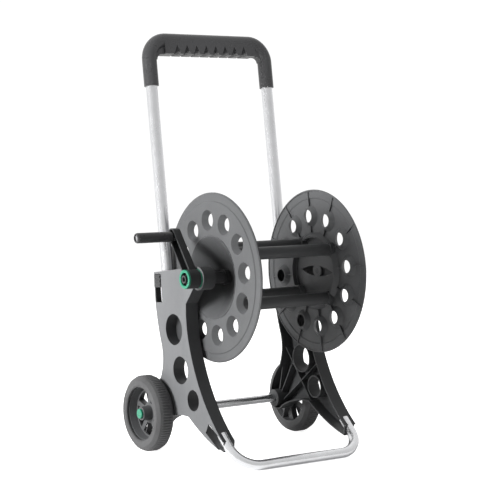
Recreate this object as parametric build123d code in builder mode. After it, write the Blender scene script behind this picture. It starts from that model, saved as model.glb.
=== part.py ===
from build123d import *
import os
from math import atan2, cos, degrees, hypot, radians, sin

# Garden hose reel cart, millimetres, +Z up, front -Y, crank on -X, wheels and handle at the rear.
# Sizes below are from the cart's own datum: mid-plane x = 0, reel axis y = 0, floor z = 0.
# MID_X and HUB_Y carry that datum into the frame whose origin is the bounding box's bottom centre.
MID_X = 30.15
HUB_Y = -35.43
HUB_Z = 377.8

# Leg shells
LEG_OUT = 168.3
LEG_IN = 139.3
LEG_WALL = 3.0
LEG_FACE = LEG_OUT - LEG_WALL
NOSE_R = 24.0
BUSH_R = 16.0
HOLES = ((93.5, 263.5, 32.5), (67.5, 181.0, 29.0), (18.5, 124.5, 22.0))
RIBS = (((17.0, 176.0), (146.0, 75.0)), ((135.0, 198.0), (40.0, 90.0)),
        ((158.0, 96.0), (143.0, 168.0)), ((150.0, 94.0), (112.0, 160.0)))

# Thumb latch and its slot at the top rear of each leg
SLOT_LEAN = 5.6
SLOT_W = 24.4
SLOT_MID = (155.6, 345.0)
SLOT_LEN = 60.0
PAD_MID = (157.1, 360.2)
PAD_TALL = 27.0
KEEPER_MID = (162.9, 360.6)

# Axle and wheels
AXLE_Y = 160.9
AXLE_Z = 80.0
AXLE_R = 9.0
AXLE_HALF = 212.0
BOSS_R = 19.0
BOSS_IN = 133.0
WHEEL_R = 80.0
WHEEL_IN = 171.2
WHEEL_OUT = 213.2
SEAT_R = 59.0
RUN = 0.06

# Foot tube
FOOT_X = 154.0
FOOT_Y = -132.3
FOOT_R = 10.5
FOOT_TILT = 41.0
FOOT_REACH = 84.0
FOOT_BEND = 52.0

# Handle
HANDLE_X = 149.0
HANDLE_Y = 149.8
HANDLE_Z = 377.0
HANDLE_R = 12.5
LEAN = 8.98
HANDLE_LOW = -80.0
HANDLE_TOP = 498.0
HANDLE_BEND = 42.0
SLEEVE_R = 15.2
SLEEVE_FLAT = 134.3
GRIP_R = 15.85
GRIP_LOW = 399.0
BAR_LOW = 467.5
BAR_LONG = 232.0
WEB_HALF = 8.5
BAR_CORNER = 12.0
NOTCH_PITCH = 24.5
NOTCH_TALL = 20.0
NOTCH_FALL = 15.0

# Reel
RIM_R = 174.0
PLATE_IN = 130.3
PLATE_OUT = 133.3
LIP_IN = 127.0
LIP_OUT = 131.6
HOLE_RING = 118.0
HOLE_R = 21.5
THROAT_R = 13.2
THROAT_IN = 121.5
HOLE_COUNT = 12
HOLE_TURN = 21.0
TUBE_R = 13.0
TUBE_RING = 73.0
TUBE_TURN = 47.0
TUBE_LEFT = 110.0
SHAFT_R = 12.0
STUB_R = 6.0

# Crank
CRANK_IN = 171.0
CRANK_OUT = 196.0
CRANK_R = 19.5
ARM_ANGLE = 51.3
ARM_LEN = 105.5
ARM_W = 26.0
ARM_IN = 172.5
ARM_OUT = 188.5
KNOB_IN = 189.5
KNOB_OUT = 274.5
KNOB_R = 10.75
PIN_R = 4.5
NIPPLE_R = 8.0
TAIL_R = 6.8


def pt(x, y, z):
    """A datum point in the row frame."""
    return Vector(MID_X + x, HUB_Y + y, z)


def side(x):
    """Plane square to X whose sketch axes are datum y and z."""
    return Plane(origin=pt(x, 0, 0), x_dir=(0, 1, 0), z_dir=(1, 0, 0))


def turned(y, z):
    """Plane through an X axis at y, z; sketch axes are datum x and radius."""
    return Plane(origin=pt(0, y, z), x_dir=(1, 0, 0), z_dir=(0, -1, 0))


def x_axis(y, z):
    """Axis along X through y, z."""
    return Axis(pt(0, y, z), (1, 0, 0))


def ring(y, z, x0, x1, r_out, r_in=0.0):
    """Solid or hollow cylinder along X from x0 to x1."""
    with BuildPart(mode=Mode.PRIVATE) as made:
        with BuildSketch(side(x0)):
            with Locations((y, z)):
                Circle(r_out)
                if r_in > 0:
                    Circle(r_in, mode=Mode.SUBTRACT)
        extrude(amount=x1 - x0)
    return made.part


def cone(y, z, x0, r0, x1, r1):
    """Solid frustum along X from radius r0 at x0 to r1 at x1."""
    with BuildPart(mode=Mode.PRIVATE) as made:
        with BuildSketch(turned(y, z)):
            with BuildLine():
                Polyline((x0, 0), (x0, r0), (x1, r1), (x1, 0), (x0, 0))
            make_face()
        revolve(axis=x_axis(y, z))
    return made.part


def polar(y, z, radius, angle):
    """Point on a circle round y, z at an angle from +Y towards +Z."""
    return (y + radius * cos(radians(angle)), z + radius * sin(radians(angle)))


def mirror_image(part):
    """The same part on the other side of the cart."""
    return part.mirror(side(0))


def save(piece, label):
    """Name one piece, write its file and print its limits."""
    piece.part.label = label
    export_step(piece.part, "parts/" + label + ".step")
    box = piece.part.bounding_box()
    print(label, [round(v, 2) for v in (*box.min, *box.max)])


os.makedirs("parts", exist_ok=True)

foot_plane = Plane(origin=pt(0, FOOT_Y, FOOT_R), x_dir=(1, 0, 0),
                   z_dir=(0, -sin(radians(FOOT_TILT)), cos(radians(FOOT_TILT))))
handle_plane = Plane(origin=pt(0, HANDLE_Y, HANDLE_Z), x_dir=(1, 0, 0),
                     z_dir=(0, -cos(radians(LEAN)), sin(radians(LEAN))))
handle_up = Vector(0, sin(radians(LEAN)), cos(radians(LEAN)))


def handle_section(v):
    """Plane across the right handle tube at v along it from the datum height."""
    return Plane(origin=pt(HANDLE_X, HANDLE_Y, HANDLE_Z) + handle_up * v, x_dir=(1, 0, 0), z_dir=handle_up)


def u_tube(plane, half, low, top, bend, r_out, r_in):
    """A bent U tube in a plane: legs at +-half, from low to the crossbar at top."""
    with BuildPart(mode=Mode.PRIVATE) as made:
        with BuildLine(plane) as path:
            FilletPolyline((-half, low), (-half, top), (half, top), (half, low), radius=bend)
        with BuildSketch(Plane(origin=path.line @ 0, z_dir=path.line % 0)):
            Circle(r_out)
            if r_in > 0:
                Circle(r_in, mode=Mode.SUBTRACT)
        sweep(path=path.line)
    return made.part


# ---------------------------------------------------------------- foot tube
with BuildPart() as foot_tube:
    add(u_tube(foot_plane, FOOT_X, FOOT_REACH, 0, FOOT_BEND, FOOT_R, FOOT_R - 1.5))

# ---------------------------------------------------------------- legs
with BuildPart() as leg_right:
    with BuildSketch(side(LEG_IN)) as leg_face:
        with BuildLine():
            nose_top = polar(0, HUB_Z, NOSE_R, 83)
            nose_low = polar(0, HUB_Z, NOSE_R, -52)
            Line((173.5, 377.5), nose_top)
            ThreePointArc(nose_top, (-NOSE_R, HUB_Z), nose_low)
            Line(nose_low, (46.0, 322.0))
            ThreePointArc((46.0, 322.0), (43.3, 276.0), (32.0, 232.0))
            ThreePointArc((32.0, 232.0), (-17.2, 135.7), (-92.0, 57.5))
            Line((-92.0, 57.5), (-90.0, 35.5))
            ThreePointArc((-90.0, 35.5), (-24.8, 56.6), (36.0, 88.0))
            ThreePointArc((36.0, 88.0), (88.4, 83.5), (137.0, 63.5))
            ThreePointArc((137.0, 63.5), (165.0, 56.2), (184.0, 84.0))
            ThreePointArc((184.0, 84.0), (172.2, 122.7), (148.0, 155.0))
            ThreePointArc((148.0, 155.0), (138.2, 190.0), (143.0, 226.0))
            ThreePointArc((143.0, 226.0), (165.4, 300.3), (173.5, 377.5))
        make_face()
        fillet([v for v in leg_face.vertices() if v.Z > 320 or 150 < v.Z < 230], radius=7.0)
    extrude(amount=LEG_OUT - LEG_IN)
    with BuildSketch(side(LEG_IN)):
        add(leg_face.sketch_local)
        offset(amount=-LEG_WALL, mode=Mode.REPLACE)
    extrude(amount=LEG_FACE - LEG_IN, mode=Mode.SUBTRACT)

    # Crossed ribs, fan ribs and hole collars inside the shell
    with BuildSketch(side(LEG_IN + 8)):
        for start, end in RIBS:
            with Locations((0.5 * (start[0] + end[0]), 0.5 * (start[1] + end[1]))):
                Rectangle(hypot(end[0] - start[0], end[1] - start[1]), 2.2,
                          rotation=degrees(atan2(end[1] - start[1], end[0] - start[0])))
    extrude(amount=LEG_FACE - LEG_IN - 7.5)
    with BuildSketch(side(LEG_IN + 1.5)):
        for y, z, radius in HOLES:
            with Locations((y, z)):
                Circle(radius + 2.5)
    extrude(amount=LEG_FACE - LEG_IN - 1.0)

    # Hub boss, axle boss and the sleeve that guides the handle tube
    add(ring(0, HUB_Z, LEG_IN, LEG_OUT, NOSE_R))
    add(ring(AXLE_Y, AXLE_Z, BOSS_IN, LEG_OUT, BOSS_R))
    with BuildSketch(handle_section(HANDLE_LOW - 3.5)):
        Circle(SLEEVE_R)
        with Locations((8.2, 0)):
            Rectangle(16.0, 9.0)
    extrude(amount=84.5)

    # Holes, bearing seats, latch slot, end slot, handle bore and foot tube seat
    with BuildSketch(side(BOSS_IN - 5)):
        for y, z, radius in HOLES:
            with Locations((y, z)):
                Circle(radius)
        with Locations((0, HUB_Z)):
            Circle(BUSH_R)
        with Locations((AXLE_Y, AXLE_Z)):
            Circle(AXLE_R)
    extrude(amount=60, mode=Mode.SUBTRACT)
    with BuildSketch(side(LEG_FACE - 0.9)):
        with Locations(SLOT_MID):
            Rectangle(SLOT_W, SLOT_LEN, rotation=-SLOT_LEAN)
        with Locations((-66.0, 58.0)):
            Rectangle(72.0, 23.0, rotation=29.0)
    extrude(amount=20, mode=Mode.SUBTRACT)
    # The rear wall is open behind the lower half of the latch window
    with BuildSketch(side(LEG_IN - 1)):
        with Locations((171.0, 331.0)):
            Rectangle(16.0, 34.0, rotation=-SLOT_LEAN)
    extrude(amount=16, mode=Mode.SUBTRACT)
    # The top hole is a blind pit with a floor at its inner end
    add(ring(HOLES[0][0], HOLES[0][1], LEG_IN + 1.5, LEG_IN + 4.0, HOLES[0][2] + 1.0))
    with BuildSketch(handle_section(HANDLE_LOW - 0.3)):
        Circle(HANDLE_R + RUN)
    extrude(amount=100, mode=Mode.SUBTRACT)
    with BuildSketch(handle_section(HANDLE_LOW - 10)):
        Circle(HANDLE_R - 2.5)
    extrude(amount=20, mode=Mode.SUBTRACT)
    with BuildSketch(side(SLEEVE_FLAT - 20)):
        with Locations((HANDLE_Y, 330)):
            Rectangle(120, 140)
    extrude(amount=20, mode=Mode.SUBTRACT)
    add(u_tube(foot_plane, FOOT_X, FOOT_REACH + 0.3, 0, FOOT_BEND, FOOT_R, 0), mode=Mode.SUBTRACT)

with BuildPart() as leg_left:
    add(mirror_image(leg_right.part))

# ---------------------------------------------------------------- bearings, axle and washers
with BuildPart() as bush_right:
    add(ring(0, HUB_Z, LEG_IN + 0.4, LEG_OUT, BUSH_R, SHAFT_R + RUN))
with BuildPart() as bush_left:
    add(mirror_image(bush_right.part))
with BuildPart() as axle:
    add(ring(AXLE_Y, AXLE_Z, -AXLE_HALF, AXLE_HALF, AXLE_R))
    chamfer(axle.edges().filter_by(GeomType.CIRCLE), length=1.0)
with BuildPart() as axle_washers:
    add(ring(AXLE_Y, AXLE_Z, LEG_OUT, LEG_OUT + 2.5, 15.0, AXLE_R))
    add(ring(AXLE_Y, AXLE_Z, -LEG_OUT - 2.5, -LEG_OUT, 15.0, AXLE_R))

# ---------------------------------------------------------------- wheels
with BuildPart() as tyre_right:
    with BuildSketch(turned(AXLE_Y, AXLE_Z)) as tyre_section:
        with BuildLine():
            Polyline((WHEEL_IN, SEAT_R), (WHEEL_IN, 70), (WHEEL_IN + 6, 77.5), (WHEEL_IN + 13, WHEEL_R),
                     (WHEEL_OUT - 13, WHEEL_R), (WHEEL_OUT - 6, 77.5), (WHEEL_OUT, 70), (WHEEL_OUT, SEAT_R),
                     (WHEEL_OUT - 2, 56.5), (WHEEL_OUT - 6, 56.5), (WHEEL_OUT - 7.4, SEAT_R),
                     (WHEEL_IN, SEAT_R))
        make_face()
        fillet([v for v in tyre_section.vertices() if v.Z > AXLE_Z + 69], radius=5.0)
    revolve(axis=x_axis(AXLE_Y, AXLE_Z))

with BuildPart() as rim_right:
    with BuildSketch(turned(AXLE_Y, AXLE_Z)):
        with BuildLine():
            Polyline((WHEEL_IN + 0.6, SEAT_R), (WHEEL_OUT - 8, SEAT_R), (WHEEL_OUT - 8, 55.0),
                     (WHEEL_OUT - 24, 52.0), (WHEEL_OUT - 24, 16.0), (WHEEL_OUT - 4, 14.0),
                     (WHEEL_OUT - 4, AXLE_R + RUN), (WHEEL_IN + 0.2, AXLE_R + RUN), (WHEEL_IN + 0.2, 15.0),
                     (WHEEL_OUT - 27, 15.0), (WHEEL_OUT - 27, 54.5), (WHEEL_IN + 0.6, 55.5),
                     (WHEEL_IN + 0.6, SEAT_R))
        make_face()
    revolve(axis=x_axis(AXLE_Y, AXLE_Z))
    # Five windows leave five spokes in the web
    with BuildSketch(side(WHEEL_OUT - 32)):
        with Locations((AXLE_Y, AXLE_Z)):
            Circle(48.0)
            Circle(22.0, mode=Mode.SUBTRACT)
            with PolarLocations(35.0, 5, start_angle=18):
                Rectangle(40.0, 11.0, mode=Mode.SUBTRACT)
    extrude(amount=12, mode=Mode.SUBTRACT)
    # Radial ribs behind the web
    with BuildSketch(side(WHEEL_IN + 1.2)):
        with Locations((AXLE_Y, AXLE_Z)):
            with PolarLocations(35.0, 8, start_angle=22.5):
                Rectangle(42.0, 2.0)
    extrude(amount=14)

with BuildPart() as hub_cap_right:
    add(ring(AXLE_Y, AXLE_Z, WHEEL_OUT - 3.5, WHEEL_OUT + 1.0, 10.5))
    fillet(hub_cap_right.edges().group_by(Axis.X)[-1], radius=1.6)
    add(ring(AXLE_Y, AXLE_Z, WHEEL_OUT - 4.0, AXLE_HALF, AXLE_R), mode=Mode.SUBTRACT)
with BuildPart() as tyre_left:
    add(mirror_image(tyre_right.part))
with BuildPart() as rim_left:
    add(mirror_image(rim_right.part))
with BuildPart() as hub_cap_left:
    add(mirror_image(hub_cap_right.part))

# ---------------------------------------------------------------- handle
with BuildPart() as handle_tube:
    add(u_tube(handle_plane, HANDLE_X, HANDLE_LOW, HANDLE_TOP, HANDLE_BEND, HANDLE_R, HANDLE_R - 1.5))

with BuildPart() as handle_grip:
    add(u_tube(handle_plane, HANDLE_X, GRIP_LOW, HANDLE_TOP, HANDLE_BEND, GRIP_R, 0))
    # Deeper hand bar hung below the tube
    with BuildSketch(handle_plane):
        with Locations((0, 0.5 * (HANDLE_TOP + BAR_LOW))):
            Rectangle(BAR_LONG, HANDLE_TOP - BAR_LOW)
    extrude(amount=GRIP_R - 0.3, both=True)
    # Thinner web that rounds the bar's lower edge into the two sides
    with BuildSketch(handle_plane):
        with Locations((0, 0.5 * (HANDLE_TOP - 8 + BAR_LOW - BAR_CORNER))):
            Rectangle(2 * HANDLE_X - 18, HANDLE_TOP - 8 - BAR_LOW + BAR_CORNER)
        with Locations((0, BAR_LOW - 40)):
            RectangleRounded(2 * (HANDLE_X - GRIP_R) + 1, 80, BAR_CORNER, mode=Mode.SUBTRACT)
    extrude(amount=WEB_HALF, both=True)
    # Eight V notches along the lower front edge, their valleys falling towards the back
    valley = handle_plane.y_dir * -NOTCH_FALL + handle_plane.z_dir * (-2 * GRIP_R)
    for step in range(8):
        crest = handle_plane.from_local_coords(((step - 3.5) * NOTCH_PITCH, BAR_LOW + NOTCH_TALL, GRIP_R))
        with BuildSketch(Plane(origin=crest, x_dir=(1, 0, 0), z_dir=valley)):
            with BuildLine():
                Polyline((0, 0), (11.3, 24.0), (-11.3, 24.0), (0, 0))
            make_face()
        extrude(amount=50, both=True, mode=Mode.SUBTRACT)
    add(u_tube(handle_plane, HANDLE_X, GRIP_LOW - 1, HANDLE_TOP, HANDLE_BEND, HANDLE_R, 0),
        mode=Mode.SUBTRACT)

# ---------------------------------------------------------------- latches
with BuildPart() as latch_right:
    with BuildSketch(side(LEG_FACE - 0.3)):
        with Locations(PAD_MID):
            Rectangle(SLOT_W - 1.6, PAD_TALL, rotation=-SLOT_LEAN)
    extrude(amount=4.8)
    # Three thumb ribs, and the keeper that grips the handle tube behind the window
    with BuildSketch(side(LEG_FACE + 4.3)):
        with Locations(Location(PAD_MID, -SLOT_LEAN)):
            with GridLocations(1, 8.5, 1, 3):
                Rectangle(SLOT_W - 3.6, 4.2)
    extrude(amount=1.3)
    with BuildSketch(side(LEG_FACE - 4.4)):
        with Locations(KEEPER_MID):
            Rectangle(8.0, PAD_TALL - 1.0, rotation=-SLOT_LEAN)
    extrude(amount=4.4)
with BuildPart() as latch_left:
    add(mirror_image(latch_right.part))


# ---------------------------------------------------------------- reel
def flange_blank(centre_r, ribbed):
    """Right-hand disc from centre_r out: stepped plate, rolled lip, conical holes and radial ribs."""
    with BuildPart(mode=Mode.PRIVATE) as made:
        with BuildSketch(turned(0, HUB_Z)):
            with BuildLine():
                Polyline((LIP_IN, RIM_R - 3), (LIP_IN, RIM_R - 0.8), (LIP_IN + 0.8, RIM_R),
                         (LIP_OUT - 2.0, RIM_R), (LIP_OUT, RIM_R - 2.5), (LIP_OUT, 157.0),
                         (PLATE_OUT, 155.0), (PLATE_OUT, centre_r), (PLATE_IN, centre_r), (PLATE_IN, 154.0),
                         (LIP_OUT - 3.0, 156.5), (LIP_OUT - 3.0, RIM_R - 3), (LIP_IN, RIM_R - 3))
            make_face()
        revolve(axis=x_axis(0, HUB_Z))
        if ribbed:
            with BuildSketch(side(PLATE_IN - 4.0)):
                with Locations((0, HUB_Z)):
                    with PolarLocations(HOLE_RING + 36.0, HOLE_COUNT, start_angle=HOLE_TURN):
                        Rectangle(34.0, 2.2)
                    with PolarLocations(HOLE_RING - 26.5, HOLE_COUNT, start_angle=HOLE_TURN):
                        Rectangle(18.0, 2.2)
            extrude(amount=4.5)
        holes = [polar(0, HUB_Z, HOLE_RING, HOLE_TURN + 30 * k) for k in range(HOLE_COUNT)]
        for y, z in holes:
            add(cone(y, z, THROAT_IN, THROAT_R + 2.0, PLATE_IN + 0.4, HOLE_R + 2.3))
        for y, z in holes:
            add(cone(y, z, THROAT_IN - 1.0, THROAT_R - 0.59, PLATE_OUT + 1.0, HOLE_R + 0.59),
                mode=Mode.SUBTRACT)
    return made.part


tube_spots = [polar(0, HUB_Z, TUBE_RING, TUBE_TURN + 90 * k) for k in range(4)]

with BuildPart() as flange_right:
    add(flange_blank(70.0, True))
    # Raised conical collar round a recessed hub face
    with BuildSketch(turned(0, HUB_Z)):
        with BuildLine():
            Polyline((PLATE_IN + 0.5, 83.0), (120.5, 75.0), (120.5, 72.0), (133.5, 72.0), (133.5, 0),
                     (PLATE_OUT + 3.2, 0), (PLATE_OUT + 3.2, 76.0), (PLATE_OUT, 78.0), (PLATE_OUT, 83.0),
                     (PLATE_IN + 0.5, 83.0))
        make_face()
    revolve(axis=x_axis(0, HUB_Z))
    with BuildSketch(side(119.5)):
        with Locations(*tube_spots):
            Circle(TUBE_R + 2.6)
    extrude(amount=PLATE_OUT - 119.5 + 0.5)
    with BuildSketch(side(119)):
        with Locations(*tube_spots):
            Circle(TUBE_R)
    extrude(amount=PLATE_OUT - 119 + 0.3, mode=Mode.SUBTRACT)
    # Lens-shaped slot across the recessed face, open round the hub core
    with BuildSketch(side(PLATE_OUT - 1)):
        with BuildLine():
            ThreePointArc((-55, HUB_Z), (0, HUB_Z + 11), (55, HUB_Z))
            ThreePointArc((55, HUB_Z), (0, HUB_Z - 11), (-55, HUB_Z))
        make_face()
    extrude(amount=5, mode=Mode.SUBTRACT)
    add(ring(0, HUB_Z, 133.5, PLATE_OUT + 3.2, 14.0))
    add(ring(0, HUB_Z, 119.0, PLATE_OUT + 4.0, STUB_R), mode=Mode.SUBTRACT)

with BuildPart() as bowl_flange:
    add(flange_blank(85.0, True))
    # Deep bowl pressed in towards the drum, with tube sockets behind it
    with BuildSketch(turned(0, HUB_Z)):
        with BuildLine():
            Line((PLATE_OUT, 86.0), (PLATE_OUT, 84.0))
            Spline((PLATE_OUT, 84.0), (122.0, 71.0), (107.0, 50.0), (97.5, 25.0), (96.0, 0.0))
            Line((96.0, 0), (92.5, 0))
            Spline((92.5, 0.0), (94.0, 25.0), (103.5, 52.0), (118.0, 73.5), (PLATE_IN, 86.0))
            Line((PLATE_IN, 86.0), (PLATE_OUT, 86.0))
        make_face()
    revolve(axis=x_axis(0, HUB_Z))
    with BuildSketch(side(88.0)):
        with Locations(*tube_spots):
            Circle(TUBE_R + 2.6)
    extrude(amount=PLATE_IN - 88.0 + 1.0)
    with BuildSketch(side(87.0)):
        with Locations(*tube_spots):
            Circle(TUBE_R)
    extrude(amount=TUBE_LEFT - 87.0, mode=Mode.SUBTRACT)
    # Clear the bowl's own hollow of the sockets
    with BuildSketch(turned(0, HUB_Z)):
        with BuildLine():
            Line((PLATE_OUT + 5, 0), (PLATE_OUT + 5, 84.0))
            Line((PLATE_OUT + 5, 84.0), (PLATE_OUT, 84.0))
            Spline((PLATE_OUT, 84.0), (122.0, 71.0), (107.0, 50.0), (97.5, 25.0), (96.0, 0.0))
            Line((96.0, 0), (PLATE_OUT + 5, 0))
        make_face()
    revolve(axis=x_axis(0, HUB_Z), mode=Mode.SUBTRACT)
    # Fine crease round the bowl's mouth
    add(ring(0, HUB_Z, PLATE_OUT - 1.2, PLATE_OUT + 1, 86.4, 84.9), mode=Mode.SUBTRACT)
    # Hub socket for the shaft
    add(ring(0, HUB_Z, 87.0, 108.0, SHAFT_R + 4.0))
    add(ring(0, HUB_Z, 86.0, 109.0, SHAFT_R), mode=Mode.SUBTRACT)
with BuildPart() as flange_left:
    add(mirror_image(bowl_flange.part))

drum_tubes = []
for spot in tube_spots:
    with BuildPart() as drum_tube:
        add(ring(spot[0], spot[1], -TUBE_LEFT, PLATE_OUT + 0.2, TUBE_R, TUBE_R - 1.8))
    drum_tubes.append(drum_tube)

with BuildPart() as drum_screws:
    for spot in tube_spots:
        add(ring(spot[0], spot[1], PLATE_OUT + 3.2, PLATE_OUT + 5.2, 5.5))

# Hollow shaft that carries water from the crank hub into the drum
with BuildPart() as hub_shaft:
    add(ring(0, HUB_Z, -CRANK_OUT + 6, -86.5, SHAFT_R, 6.0))
with BuildPart() as stub_shaft:
    add(ring(0, HUB_Z, PLATE_OUT + 3.2, LEG_OUT + 1.2, SHAFT_R))
    add(ring(0, HUB_Z, 133.6, PLATE_OUT + 3.2, STUB_R))
with BuildPart() as stub_retainer:
    add(ring(0, HUB_Z, LEG_OUT + 1.2, LEG_OUT + 3.2, 19.0))
    add(ring(0, HUB_Z, LEG_OUT + 3.2, LEG_OUT + 6.2, 6.5))
    fillet(stub_retainer.edges().group_by(Axis.X)[-1], radius=1.2)

# Outlet elbow inside the drum, its barbed tail pointing down
with BuildPart() as hose_outlet:
    with BuildLine(turned(0, HUB_Z)) as elbow_path:
        FilletPolyline((-86.5, 0), (-66.0, 0), (-66.0, -34.0), radius=12.0)
    with BuildSketch(side(-86.5)):
        with Locations((0, HUB_Z)):
            Circle(TAIL_R)
            Circle(TAIL_R - 2.3, mode=Mode.SUBTRACT)
    sweep(path=elbow_path.line)

# ---------------------------------------------------------------- crank
arm_up = (cos(radians(ARM_ANGLE)), sin(radians(ARM_ANGLE)))
pin_y = ARM_LEN * arm_up[0]
pin_z = HUB_Z + ARM_LEN * arm_up[1]
with BuildPart() as crank_hub:
    add(ring(0, HUB_Z, -CRANK_OUT, -CRANK_IN, CRANK_R, SHAFT_R))
    add(ring(0, HUB_Z, -CRANK_OUT - 0.1, -CRANK_OUT + 6.0, 15.5), mode=Mode.SUBTRACT)
with BuildPart() as washer_ring:
    add(ring(0, HUB_Z, -CRANK_IN + 0.3, -LEG_OUT - 0.4, CRANK_R + 0.5, SHAFT_R + 0.2))
with BuildPart() as crank_arm:
    with BuildSketch(side(-ARM_OUT)):
        with Locations((0.5 * pin_y, HUB_Z + 0.5 * (pin_z - HUB_Z))):
            SlotOverall(ARM_LEN + ARM_W + 10, ARM_W, rotation=ARM_ANGLE)
    extrude(amount=ARM_OUT - ARM_IN)
    with BuildSketch(side(-ARM_OUT)):
        with Locations((0.5 * pin_y, HUB_Z + 0.5 * (pin_z - HUB_Z))):
            SlotOverall(ARM_LEN + ARM_W + 4, ARM_W - 6, rotation=ARM_ANGLE)
    extrude(amount=ARM_OUT - ARM_IN - 3.0, mode=Mode.SUBTRACT)
    add(ring(pin_y, pin_z, -ARM_OUT, -ARM_IN - 1, 9.0))
    add(ring(pin_y, pin_z, -ARM_OUT - 1, -ARM_IN + 1, PIN_R), mode=Mode.SUBTRACT)
    add(ring(0, HUB_Z, -ARM_OUT - 1, -ARM_IN + 1, CRANK_R), mode=Mode.SUBTRACT)
with BuildPart() as crank_pin:
    add(ring(pin_y, pin_z, -KNOB_OUT + 6, -ARM_IN, PIN_R))
    add(ring(pin_y, pin_z, -KNOB_OUT + 2.2, -KNOB_OUT + 6, 6.5))
with BuildPart() as crank_grip:
    with BuildSketch(turned(pin_y, pin_z)):
        with BuildLine():
            Polyline((-KNOB_IN, PIN_R + RUN), (-KNOB_IN, KNOB_R - 1.5), (-KNOB_IN - 3, KNOB_R),
                     (-KNOB_OUT + 4, KNOB_R), (-KNOB_OUT + 1, KNOB_R - 1.2), (-KNOB_OUT, KNOB_R - 3.6),
                     (-KNOB_OUT, 6.9), (-KNOB_OUT + 6.4, 6.9), (-KNOB_OUT + 6.4, PIN_R + RUN),
                     (-KNOB_IN, PIN_R + RUN))
        make_face()
    revolve(axis=x_axis(pin_y, pin_z))

with BuildPart() as inlet_ring:
    add(ring(0, HUB_Z, -CRANK_OUT - 4.5, -CRANK_OUT, CRANK_R, 13.5))
    fillet(inlet_ring.edges().group_by(Axis.X)[0], radius=1.2)
with BuildPart() as water_inlet:
    add(ring(0, HUB_Z, -CRANK_OUT - 5.5, -CRANK_OUT + 6, NIPPLE_R, 5.0))
    add(ring(0, HUB_Z, -CRANK_OUT + 4, -CRANK_OUT + 6, 13.0, 5.0))

for number, drum_tube in enumerate(drum_tubes, 1):
    save(drum_tube, "drum_tube_" + str(number))
for piece, label in ((foot_tube, "foot_tube"), (leg_right, "leg_right"), (leg_left, "leg_left"),
                     (bush_right, "bush_right"), (bush_left, "bush_left"), (axle, "axle"),
                     (axle_washers, "axle_washers"), (tyre_right, "tyre_right"), (rim_right, "rim_right"),
                     (hub_cap_right, "hub_cap_right"), (tyre_left, "tyre_left"), (rim_left, "rim_left"),
                     (hub_cap_left, "hub_cap_left"), (handle_tube, "handle_tube"),
                     (handle_grip, "handle_grip"), (latch_right, "latch_right"), (latch_left, "latch_left"),
                     (flange_right, "flange_right"), (flange_left, "flange_left"),
                     (drum_screws, "drum_screws"), (hub_shaft, "hub_shaft"), (stub_shaft, "stub_shaft"),
                     (stub_retainer, "stub_retainer"), (hose_outlet, "hose_outlet"),
                     (crank_hub, "crank_hub"), (washer_ring, "washer_ring"), (crank_arm, "crank_arm"),
                     (crank_pin, "crank_pin"), (crank_grip, "crank_grip"), (inlet_ring, "inlet_ring"),
                     (water_inlet, "water_inlet")):
    save(piece, label)
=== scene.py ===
import math

import bmesh
import bpy
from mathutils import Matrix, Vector


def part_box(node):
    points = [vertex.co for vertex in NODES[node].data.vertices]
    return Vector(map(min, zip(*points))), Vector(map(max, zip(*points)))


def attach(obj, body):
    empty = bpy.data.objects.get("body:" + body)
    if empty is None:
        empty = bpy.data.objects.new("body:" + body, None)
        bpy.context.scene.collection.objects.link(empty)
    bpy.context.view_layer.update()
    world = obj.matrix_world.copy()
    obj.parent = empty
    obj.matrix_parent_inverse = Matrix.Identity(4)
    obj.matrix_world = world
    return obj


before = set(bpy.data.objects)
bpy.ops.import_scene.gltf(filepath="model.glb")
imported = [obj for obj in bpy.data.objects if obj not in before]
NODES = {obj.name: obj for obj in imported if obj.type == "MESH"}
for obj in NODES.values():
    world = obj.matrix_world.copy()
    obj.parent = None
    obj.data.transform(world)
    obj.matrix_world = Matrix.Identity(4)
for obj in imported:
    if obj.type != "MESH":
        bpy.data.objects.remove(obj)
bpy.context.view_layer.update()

bl_info = {
    "name": "Garden Hose Reel Cart",
    "version": (1, 0, 0),
    "blender": (4, 5, 0),
    "location": "View3D > Sidebar > Reel Cart",
    "description": "Finishes a wheeled garden hose reel cart and sets its studio",
    "category": "Object",
}


def middle(node):
    """Middle of a CAD node's box."""
    low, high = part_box(node)
    return 0.5 * (low + high)


AXLE = middle("axle")
MID_X = AXLE.x
HUB = middle("flange_right")
TYRE_R = 0.5 * (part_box("tyre_right")[1].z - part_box("tyre_right")[0].z)

# Tread bars, in metres: where they sit across the tyre and how deep they are sunk into it
TREAD_EDGE = 0.0050
TREAD_CROWN = 0.0130
TREAD_DROP = 0.0045
TREAD_DEPTH = 0.0020

# Leg shell, from its outer face inwards, and the left flange's bowl, from its middle out
SHELL_DARK = 0.1668
SHELL_FACE = 0.1682
BOWL_MIDDLE = 0.030
BOWL_MOUTH = 0.0850

# Camera: degrees round and above the cart, metres from the hub in plan and above the floor
CAMERA_TURN = -34.182
CAMERA_RISE = 4.569
CAMERA_PLACE = (-1.8302, -2.6362, 0.685)


# ------------------------------------------------------------------ settings
class ReelCartSizes(bpy.types.PropertyGroup):
    """Sizes of the details that are added to the cart."""

    tread_count: bpy.props.IntProperty(
        name="Tread bars", description="Cross bars round each tyre", default=84, min=12, max=160)
    tread_height: bpy.props.FloatProperty(
        name="Tread height", description="How far a tread bar stands out", default=0.0005,
        min=0.0002, max=0.003, unit="LENGTH", precision=4)
    tread_gap: bpy.props.FloatProperty(
        name="Tread gap", description="Share of the pitch left as a groove", default=0.38,
        min=0.1, max=0.8, subtype="FACTOR")
    grain: bpy.props.FloatProperty(
        name="Moulded grain", description="Strength of the fine grain of the plastic", default=0.22,
        min=0.0, max=1.0, subtype="FACTOR")


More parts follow.
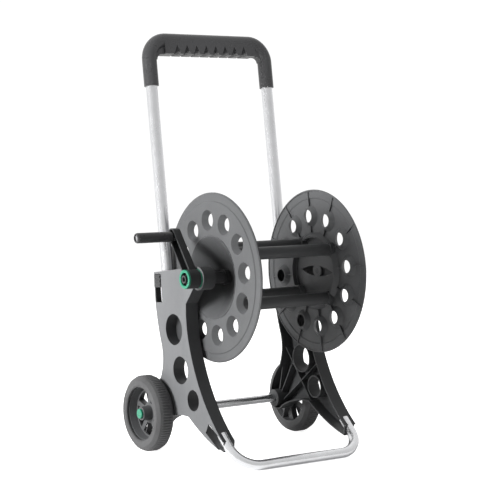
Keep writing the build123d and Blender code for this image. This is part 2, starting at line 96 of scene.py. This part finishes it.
class ReelCartColours(bpy.types.PropertyGroup):
    """Colours of the cart's finishes."""

    shell: bpy.props.FloatVectorProperty(
        name="Shell grey", description="Anthracite plastic of the legs and reel", subtype="COLOR",
        size=3, min=0, max=1, default=(0.105, 0.107, 0.110))
    black: bpy.props.FloatVectorProperty(
        name="Grip black", description="Black plastic of the grips", subtype="COLOR",
        size=3, min=0, max=1, default=(0.024, 0.024, 0.025))
    rubber: bpy.props.FloatVectorProperty(
        name="Tyre black", description="Solid tyre", subtype="COLOR",
        size=3, min=0, max=1, default=(0.052, 0.052, 0.053))
    green: bpy.props.FloatVectorProperty(
        name="Accent green", description="Rings and hub caps", subtype="COLOR",
        size=3, min=0, max=1, default=(0.008, 0.150, 0.085))
    metal: bpy.props.FloatVectorProperty(
        name="Bright tube", description="Handle and foot tube", subtype="COLOR",
        size=3, min=0, max=1, default=(0.84, 0.845, 0.86))


# ------------------------------------------------------------------ material nodes
class Tree:
    """Small helper that adds and joins shader nodes."""

    def __init__(self, name):
        self.material = bpy.data.materials.new(name)
        self.material.use_nodes = True
        self.nodes = self.material.node_tree.nodes
        self.links = self.material.node_tree.links
        self.nodes.clear()
        self.out = self.nodes.new("ShaderNodeOutputMaterial")
        self.shader = self.nodes.new("ShaderNodeBsdfPrincipled")
        self.links.new(self.shader.outputs["BSDF"], self.out.inputs["Surface"])
        self.coords = self.nodes.new("ShaderNodeTexCoord").outputs["Object"]

    def noise(self, scale, detail=2.0, rough=0.5, stretch=(1, 1, 1)):
        """Noise on object coordinates."""
        mapping = self.nodes.new("ShaderNodeMapping")
        mapping.inputs["Scale"].default_value = stretch
        self.links.new(self.coords, mapping.inputs["Vector"])
        node = self.nodes.new("ShaderNodeTexNoise")
        node.inputs["Scale"].default_value = scale
        node.inputs["Detail"].default_value = detail
        node.inputs["Roughness"].default_value = rough
        self.links.new(mapping.outputs["Vector"], node.inputs["Vector"])
        return node.outputs["Fac"]

    def ramp(self, fac, low, high, start=0.3, end=0.7):
        """Two-colour ramp."""
        node = self.nodes.new("ShaderNodeValToRGB")
        node.color_ramp.elements[0].position = start
        node.color_ramp.elements[1].position = end
        node.color_ramp.elements[0].color = (*low, 1)
        node.color_ramp.elements[1].color = (*high, 1)
        self.links.new(fac, node.inputs["Fac"])
        return node.outputs["Color"]

    def between(self, fac, low, high):
        """Maps a 0.3 to 0.7 signal on to a range."""
        node = self.nodes.new("ShaderNodeMapRange")
        node.inputs["From Min"].default_value = 0.3
        node.inputs["From Max"].default_value = 0.7
        node.inputs["To Min"].default_value = low
        node.inputs["To Max"].default_value = high
        self.links.new(fac, node.inputs["Value"])
        return node.outputs["Result"]

    def distance(self, centre, mask):
        """Distance of a point from a centre, counting only the axes in the mask."""
        offset = self.nodes.new("ShaderNodeVectorMath")
        offset.operation = "SUBTRACT"
        offset.inputs[1].default_value = centre
        self.links.new(self.coords, offset.inputs[0])
        kept = self.nodes.new("ShaderNodeVectorMath")
        kept.operation = "MULTIPLY"
        kept.inputs[1].default_value = mask
        self.links.new(offset.outputs["Vector"], kept.inputs[0])
        size = self.nodes.new("ShaderNodeVectorMath")
        size.operation = "LENGTH"
        self.links.new(kept.outputs["Vector"], size.inputs[0])
        return size.outputs["Value"]

    def step(self, value, start, end, low, high):
        """Clamped change from low at start to high at end."""
        node = self.nodes.new("ShaderNodeMapRange")
        for name, number in (("From Min", start), ("From Max", end), ("To Min", low), ("To Max", high)):
            node.inputs[name].default_value = number
        self.links.new(value, node.inputs["Value"])
        return node.outputs["Result"]

    def darken(self, colour, factor):
        """A colour multiplied by a factor."""
        node = self.nodes.new("ShaderNodeVectorMath")
        node.operation = "SCALE"
        self.links.new(colour, node.inputs[0])
        self.links.new(factor, node.inputs["Scale"])
        return node.outputs["Vector"]

    def bump(self, height, strength, distance, before=None):
        """Bump from a height signal, chained after another."""
        node = self.nodes.new("ShaderNodeBump")
        node.inputs["Strength"].default_value = strength
        node.inputs["Distance"].default_value = distance
        self.links.new(height, node.inputs["Height"])
        if before is not None:
            self.links.new(before, node.inputs["Normal"])
        return node.outputs["Normal"]

    def put(self, socket, value):
        """Links an output to, or sets, one of the shader's sockets."""
        if isinstance(value, bpy.types.NodeSocket):
            self.links.new(value, self.shader.inputs[socket])
        else:
            self.shader.inputs[socket].default_value = value


def tint(colour, gain):
    """A lighter or darker version of a colour."""
    return tuple(min(1.0, c * gain) for c in colour)


def moulded(name, colour, rough, grain, specular=0.3, spread=0.10, shade=None):
    """Moulded plastic: fine spark-eroded grain, faint flow marks and handling marks."""
    tree = Tree(name)
    flow = tree.noise(9.0, 3.0, 0.55, (1.0, 1.0, 0.45))
    base = tree.ramp(flow, tint(colour, 1 - spread), tint(colour, 1 + spread))
    if shade is not None:
        base = tree.darken(base, shade(tree))
    tree.put("Base Color", base)
    marks = tree.noise(55.0, 4.0, 0.6)
    tree.put("Roughness", tree.between(marks, rough - 0.06, rough + 0.06))
    fine = tree.bump(tree.noise(1500.0, 2.0, 0.5), grain, 0.00025)
    tree.put("Normal", tree.bump(tree.noise(26.0, 2.0, 0.5), 0.06, 0.002, fine))
    tree.put("Specular IOR Level", specular)
    return tree.material


def bright_tube(name, colour, rough, stretch):
    """Bright tube: long draw lines and a little haze."""
    tree = Tree(name)
    haze = tree.noise(30.0, 3.0, 0.6)
    tree.put("Base Color", tree.ramp(haze, tint(colour, 0.94), tint(colour, 1.03)))
    tree.put("Metallic", 1.0)
    tree.put("Roughness", tree.between(tree.noise(70.0, 3.0, 0.6, stretch), rough - 0.01, rough + 0.02))
    return tree.material


def rubber(name, colour):
    """Tyre: matt with a dusty bloom."""
    tree = Tree(name)
    dust = tree.noise(22.0, 5.0, 0.65)
    tree.put("Base Color", tree.ramp(dust, tint(colour, 0.85), tint(colour, 1.2)))
    tree.put("Roughness", tree.between(tree.noise(90.0, 3.0, 0.6), 0.50, 0.66))
    tree.put("Normal", tree.bump(tree.noise(1100.0, 3.0, 0.6), 0.3, 0.0003))
    tree.put("Specular IOR Level", 0.5)
    return tree.material


def gloss_green(name, colour):
    """Glossy coloured plastic."""
    tree = Tree(name)
    tree.put("Base Color", tree.ramp(tree.noise(60.0, 2.0, 0.5), tint(colour, 0.93), tint(colour, 1.07)))
    tree.put("Roughness", tree.between(tree.noise(120.0, 3.0, 0.6), 0.24, 0.34))
    tree.put("Normal", tree.bump(tree.noise(900.0, 2.0, 0.5), 0.06, 0.0002))
    tree.put("Coat Weight", 0.3)
    tree.put("Coat Roughness", 0.12)
    return tree.material


def finish(node, material):
    """Gives a CAD node its material and leaves its mesh alone."""
    slots = NODES[node].material_slots
    for slot in slots:
        slot.material = material
    if not slots:
        NODES[node].data.materials.append(material)


def inside_shell(tree):
    """Darker behind the outer face of a leg, which deepens the shadow inside its shell."""
    return tree.step(tree.distance((MID_X, 0, 0), (1, 0, 0)), SHELL_DARK, SHELL_FACE, 0.40, 1.0)


def inside_bowl(tree):
    """Darker towards the middle of a flange, which deepens the shadow inside its bowl."""
    return tree.step(tree.distance(HUB, (0, 1, 1)), BOWL_MIDDLE, BOWL_MOUTH, 0.22, 1.0)


MADE = {}


def made(name):
    """A finish made earlier by the finishes operator."""
    return MADE[name]


# ------------------------------------------------------------------ tread
def tread_group():
    """Geometry Nodes: sweeps a bar along the input path and repeats it round the wheel's axis."""
    group = bpy.data.node_groups.new("tyre_tread", "GeometryNodeTree")
    face = group.interface
    face.new_socket("Path", in_out="INPUT", socket_type="NodeSocketGeometry")
    for name, kind in (("Bars", "NodeSocketInt"), ("Bar Width", "NodeSocketFloat"),
                       ("Bar Height", "NodeSocketFloat"), ("Centre", "NodeSocketVector"),
                       ("Finish", "NodeSocketMaterial")):
        face.new_socket(name, in_out="INPUT", socket_type=kind)
    face.new_socket("Tread", in_out="OUTPUT", socket_type="NodeSocketGeometry")
    add = group.nodes.new
    link = group.links.new
    given = add("NodeGroupInput").outputs
    path = add("GeometryNodeMeshToCurve")
    link(given["Path"], path.inputs["Mesh"])
    section = add("GeometryNodeCurvePrimitiveQuadrilateral")
    link(given["Bar Width"], section.inputs["Width"])
    link(given["Bar Height"], section.inputs["Height"])
    bar = add("GeometryNodeCurveToMesh")
    bar.inputs["Fill Caps"].default_value = True
    link(path.outputs["Curve"], bar.inputs["Curve"])
    link(section.outputs["Curve"], bar.inputs["Profile Curve"])
    spots = add("GeometryNodeMeshLine")
    spots.inputs["Offset"].default_value = (0, 0, 0)
    link(given["Bars"], spots.inputs["Count"])
    step = add("ShaderNodeMath")
    step.operation = "DIVIDE"
    step.inputs[0].default_value = 2 * math.pi
    link(given["Bars"], step.inputs[1])
    angle = add("ShaderNodeMath")
    angle.operation = "MULTIPLY"
    link(add("GeometryNodeInputIndex").outputs["Index"], angle.inputs[0])
    link(step.outputs["Value"], angle.inputs[1])
    turn = add("ShaderNodeCombineXYZ")
    link(angle.outputs["Value"], turn.inputs["X"])
    copies = add("GeometryNodeInstanceOnPoints")
    link(spots.outputs["Mesh"], copies.inputs["Points"])
    link(bar.outputs["Mesh"], copies.inputs["Instance"])
    link(turn.outputs["Vector"], copies.inputs["Rotation"])
    place = add("GeometryNodeTransform")
    link(copies.outputs["Instances"], place.inputs["Geometry"])
    link(given["Centre"], place.inputs["Translation"])
    solid = add("GeometryNodeRealizeInstances")
    link(place.outputs["Geometry"], solid.inputs["Geometry"])
    coat = add("GeometryNodeSetMaterial")
    link(solid.outputs["Geometry"], coat.inputs["Geometry"])
    link(given["Finish"], coat.inputs["Material"])
    link(coat.outputs["Geometry"], add("NodeGroupOutput").inputs["Tread"])
    return group


def plain_mesh(source, name):
    """Freezes an object's modifiers into a new plain mesh object with outward faces."""
    seen = source.evaluated_get(bpy.context.evaluated_depsgraph_get())
    mesh = bpy.data.meshes.new_from_object(seen)
    bm = bmesh.new()
    bm.from_mesh(mesh)
    bmesh.ops.recalc_face_normals(bm, faces=bm.faces)
    bm.to_mesh(mesh)
    bm.free()
    result = bpy.data.objects.new(name, mesh)
    bpy.context.scene.collection.objects.link(result)
    bpy.data.objects.remove(source)
    return result


def tread(side, group, material, sizes):
    """One wheel's tread bars, laid over the crown and shoulders of its tyre."""
    low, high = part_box("tyre_" + side)
    centre = 0.5 * (low + high)
    half = 0.5 * (high.x - low.x)
    crown = TYRE_R + sizes.tread_height - 0.5 * TREAD_DEPTH
    edge, flat = half - TREAD_EDGE, half - TREAD_CROWN
    points = [(-edge, 0, crown - TREAD_DROP), (-flat, 0, crown),
              (flat, 0, crown), (edge, 0, crown - TREAD_DROP)]
    mesh = bpy.data.meshes.new("tread_path")
    mesh.from_pydata(points, [(0, 1), (1, 2), (2, 3)], [])
    path = bpy.data.objects.new("tread_path", mesh)
    bpy.context.scene.collection.objects.link(path)
    modifier = path.modifiers.new("tread", "NODES")
    modifier.node_group = group
    pitch = 2 * math.pi * TYRE_R / sizes.tread_count
    values = {"Bars": sizes.tread_count, "Bar Width": pitch * (1 - sizes.tread_gap),
              "Bar Height": TREAD_DEPTH, "Centre": tuple(centre), "Finish": material}
    for item in group.interface.items_tree:
        if item.in_out == "INPUT" and item.name in values:
            modifier[item.identifier] = values[item.name]
    made_tread = plain_mesh(path, "tyre_tread_" + side)
    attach(made_tread, "wheel_" + side)
    return made_tread


# ------------------------------------------------------------------ operators
class CART_OT_finishes(bpy.types.Operator):
    """Make every finish used on the cart"""

    bl_idname = "reel_cart.finishes"
    bl_label = "Finishes"

    def execute(self, context):
        sizes = context.scene.reel_cart_sizes
        tone = context.scene.reel_cart_colours
        MADE["shell"] = moulded("anthracite shell", tone.shell, 0.46, sizes.grain, shade=inside_shell)
        MADE["disc"] = moulded("anthracite disc", tint(tone.shell, 0.62), 0.44, sizes.grain)
        MADE["bowl"] = moulded("anthracite bowl disc", tint(tone.shell, 0.62), 0.44, sizes.grain,
                               shade=inside_bowl)
        MADE["crank"] = moulded("dark crank plastic", tint(tone.shell, 0.22), 0.42, sizes.grain)
        MADE["rim"] = moulded("wheel rim", tint(tone.shell, 0.62), 0.42, sizes.grain)
        MADE["grip"] = moulded("black grip", tone.black, 0.30, 0.12, 0.5, 0.06)
        MADE["bearing"] = moulded("bearing plastic", tint(tone.black, 1.4), 0.38, 0.08)
        MADE["rubber"] = rubber("solid tyre", tone.rubber)
        MADE["green"] = gloss_green("green accent", tone.green)
        MADE["handle"] = bright_tube("bright handle tube", tone.metal, 0.27, (1.0, 1.0, 0.04))
        MADE["foot"] = bright_tube("bright foot tube", tone.metal, 0.25, (0.04, 1.0, 1.0))
        MADE["steel"] = bright_tube("plated steel", tint(tone.metal, 0.8), 0.26, (0.1, 1.0, 1.0))
        return {"FINISHED"}


class CART_OT_legs(bpy.types.Operator):
    """Finish the leg shells, their bushes and latches"""

    bl_idname = "reel_cart.legs"
    bl_label = "Legs and latches"

    def execute(self, context):
        for node in ("leg_left", "leg_right"):
            finish(node, made("shell"))
        for node in ("bush_left", "bush_right"):
            finish(node, made("bearing"))
        for node in ("latch_left", "latch_right"):
            finish(node, made("grip"))
        return {"FINISHED"}


class CART_OT_tubes(bpy.types.Operator):
    """Finish the handle, the foot tube and the axle"""

    bl_idname = "reel_cart.tubes"
    bl_label = "Tubes"

    def execute(self, context):
        finish("handle_tube", made("handle"))
        finish("foot_tube", made("foot"))
        finish("handle_grip", made("grip"))
        for node in ("axle", "axle_washers"):
            finish(node, made("steel"))
        return {"FINISHED"}


class CART_OT_reel(bpy.types.Operator):
    """Finish the flanges, the drum and what turns with them"""

    bl_idname = "reel_cart.reel"
    bl_label = "Reel"

    def execute(self, context):
        for node in ("flange_right", "drum_tube_1", "drum_tube_2", "drum_tube_3", "drum_tube_4"):
            finish(node, made("disc"))
        finish("flange_left", made("bowl"))
        for node in ("hub_shaft", "stub_shaft", "hose_outlet", "water_inlet"):
            finish(node, made("bearing"))
        finish("stub_retainer", made("grip"))
        finish("drum_screws", made("steel"))
        return {"FINISHED"}


class CART_OT_crank(bpy.types.Operator):
    """Finish the crank and its green rings"""

    bl_idname = "reel_cart.crank"
    bl_label = "Crank"

    def execute(self, context):
        for node in ("crank_hub", "crank_arm"):
            finish(node, made("crank"))
        finish("crank_grip", made("grip"))
        finish("crank_pin", made("steel"))
        for node in ("washer_ring", "inlet_ring"):
            finish(node, made("green"))
        return {"FINISHED"}


class CART_OT_wheels(bpy.types.Operator):
    """Finish the rims and caps and build the treaded tyres"""

    bl_idname = "reel_cart.wheels"
    bl_label = "Wheels"

    def execute(self, context):
        group = tread_group()
        for side in ("left", "right"):
            tread(side, group, made("rubber"), context.scene.reel_cart_sizes)
            finish("rim_" + side, made("rim"))
            finish("hub_cap_" + side, made("green"))
            finish("tyre_" + side, made("rubber"))
        return {"FINISHED"}


class CART_OT_stage(bpy.types.Operator):
    """Lay the floor and set the lights and the camera"""

    bl_idname = "reel_cart.stage"
    bl_label = "Studio"

    def execute(self, context):
        scene = context.scene
        mesh = bpy.data.meshes.new("studio_floor")
        mesh.from_pydata([(-3, -3, 0), (3, -3, 0), (3, 3, 0), (-3, 3, 0)], [], [(0, 1, 2, 3)])
        floor = bpy.data.objects.new("studio_floor", mesh)
        scene.collection.objects.link(floor)
        tree = Tree("studio floor")
        tree.put("Base Color", tree.ramp(tree.noise(1.5), (0.90, 0.90, 0.90), (0.92, 0.92, 0.92)))
        tree.put("Roughness", 0.55)
        tree.put("Emission Color", (1, 1, 1, 1))
        glow = tree.nodes.new("ShaderNodeMapRange")
        glow.inputs["To Min"].default_value = 0.12
        glow.inputs["To Max"].default_value = 0.88
        tree.links.new(tree.nodes.new("ShaderNodeLightPath").outputs["Is Camera Ray"], glow.inputs["Value"])
        tree.put("Emission Strength", glow.outputs["Result"])
        mesh.materials.append(tree.material)

        world = scene.world or bpy.data.worlds.new("studio")
        scene.world = world
        world.use_nodes = True
        nodes = world.node_tree.nodes
        links = world.node_tree.links
        nodes.clear()
        out = nodes.new("ShaderNodeOutputWorld")
        seen = nodes.new("ShaderNodeBackground")
        seen.inputs["Color"].default_value = (1, 1, 1, 1)
        seen.inputs["Strength"].default_value = 1.05
        soft = nodes.new("ShaderNodeBackground")
        soft.inputs["Color"].default_value = (1, 1, 1, 1)
        soft.inputs["Strength"].default_value = 0.11
        # Reflections see a bright room that is dimmer towards the front
        towards = nodes.new("ShaderNodeVectorMath")
        towards.operation = "DOT_PRODUCT"
        towards.inputs[1].default_value = (0.2, -0.98, 0.0)
        links.new(nodes.new("ShaderNodeTexCoord").outputs["Generated"], towards.inputs[0])
        dim = nodes.new("ShaderNodeMapRange")
        dim.inputs["From Min"].default_value = -0.3
        dim.inputs["From Max"].default_value = 0.9
        dim.inputs["To Min"].default_value = 0.95
        dim.inputs["To Max"].default_value = 0.62
        links.new(towards.outputs["Value"], dim.inputs["Value"])
        room = nodes.new("ShaderNodeBackground")
        room.inputs["Color"].default_value = (1, 1, 1, 1)
        links.new(dim.outputs["Result"], room.inputs["Strength"])
        path = nodes.new("ShaderNodeLightPath")
        gloss = nodes.new("ShaderNodeMixShader")
        links.new(path.outputs["Is Glossy Ray"], gloss.inputs["Fac"])
        links.new(soft.outputs["Background"], gloss.inputs[1])
        links.new(room.outputs["Background"], gloss.inputs[2])
        pick = nodes.new("ShaderNodeMixShader")
        links.new(path.outputs["Is Camera Ray"], pick.inputs["Fac"])
        links.new(gloss.outputs["Shader"], pick.inputs[1])
        links.new(seen.outputs["Background"], pick.inputs[2])
        links.new(pick.outputs["Shader"], out.inputs["Surface"])

        target = Vector((MID_X, 0.0, 0.42))
        for name, place, size, power in (("key_left", (-3.0, 0.45, 1.15), 1.1, 240.0),
                                         ("rim_back", (1.8, 3.0, 2.0), 1.6, 18.0),
                                         ("top_soft", (-0.6, 0.4, 3.2), 1.6, 16.0)):
            light = bpy.data.lights.new(name, "AREA")
            light.shape = "SQUARE"
            light.size = size
            light.energy = power
            lamp = bpy.data.objects.new(name, light)
            lamp.location = place
            lamp.rotation_euler = (target - Vector(place)).to_track_quat("-Z", "Y").to_euler()
            lamp.visible_glossy = False
            scene.collection.objects.link(lamp)

        # A narrow lamp that picks out the front of the hand bar
        glint = bpy.data.lights.new("bar_glint", "SPOT")
        glint.energy = 900.0
        glint.spot_size = math.radians(9.5)
        glint.spot_blend = 0.6
        glint.shadow_soft_size = 0.25
        lamp = bpy.data.objects.new("bar_glint", glint)
        bar = middle("handle_grip")
        bar.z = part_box("handle_grip")[1].z - 0.03
        place = Vector((MID_X - 0.9, -2.6, 1.7))
        lamp.location = place
        lamp.rotation_euler = (bar - place).to_track_quat("-Z", "Y").to_euler()
        lamp.visible_glossy = False
        scene.collection.objects.link(lamp)

        camera = bpy.data.cameras.new("studio_camera")
        camera.lens = 111.04
        camera.sensor_width = 36.0
        camera.clip_end = 60.0
        view = bpy.data.objects.new("studio_camera", camera)
        turn, rise = math.radians(CAMERA_TURN), math.radians(CAMERA_RISE)
        back = Vector((math.sin(turn) * math.cos(rise), -math.cos(turn) * math.cos(rise), math.sin(rise)))
        view.location = (MID_X + CAMERA_PLACE[0], HUB.y + CAMERA_PLACE[1], CAMERA_PLACE[2])
        view.rotation_euler = (-back).to_track_quat("-Z", "Y").to_euler()
        scene.collection.objects.link(view)
        scene.camera = view
        scene.view_settings.view_transform = "Standard"
        return {"FINISHED"}


class CART_PT_panel(bpy.types.Panel):
    """Lists the cart's settings and steps"""

    bl_label = "Reel Cart"
    bl_idname = "CART_PT_panel"
    bl_space_type = "VIEW_3D"
    bl_region_type = "UI"
    bl_category = "Reel Cart"

    def draw(self, context):
        layout = self.layout
        for group in (context.scene.reel_cart_sizes, context.scene.reel_cart_colours):
            for key in group.bl_rna.properties.keys():
                if key not in ("rna_type", "name"):
                    layout.prop(group, key)
        for operator in STEPS:
            layout.operator(operator.bl_idname)


STEPS = (CART_OT_finishes, CART_OT_legs, CART_OT_tubes, CART_OT_reel, CART_OT_crank, CART_OT_wheels,
         CART_OT_stage)
CLASSES = (ReelCartSizes, ReelCartColours) + STEPS + (CART_PT_panel,)


def register():
    """Register every class and hang the settings on the scene."""
    for item in CLASSES:
        bpy.utils.register_class(item)
    bpy.types.Scene.reel_cart_sizes = bpy.props.PointerProperty(type=ReelCartSizes)
    bpy.types.Scene.reel_cart_colours = bpy.props.PointerProperty(type=ReelCartColours)


def unregister():
    """Take the settings and the classes away again."""
    del bpy.types.Scene.reel_cart_sizes
    del bpy.types.Scene.reel_cart_colours
    for item in reversed(CLASSES):
        bpy.utils.unregister_class(item)


def main():
    """Run every step in order."""
    register()
    for step in STEPS:
        group, name = step.bl_idname.split(".")
        getattr(getattr(bpy.ops, group), name)()


if __name__ == "__main__":
    main()
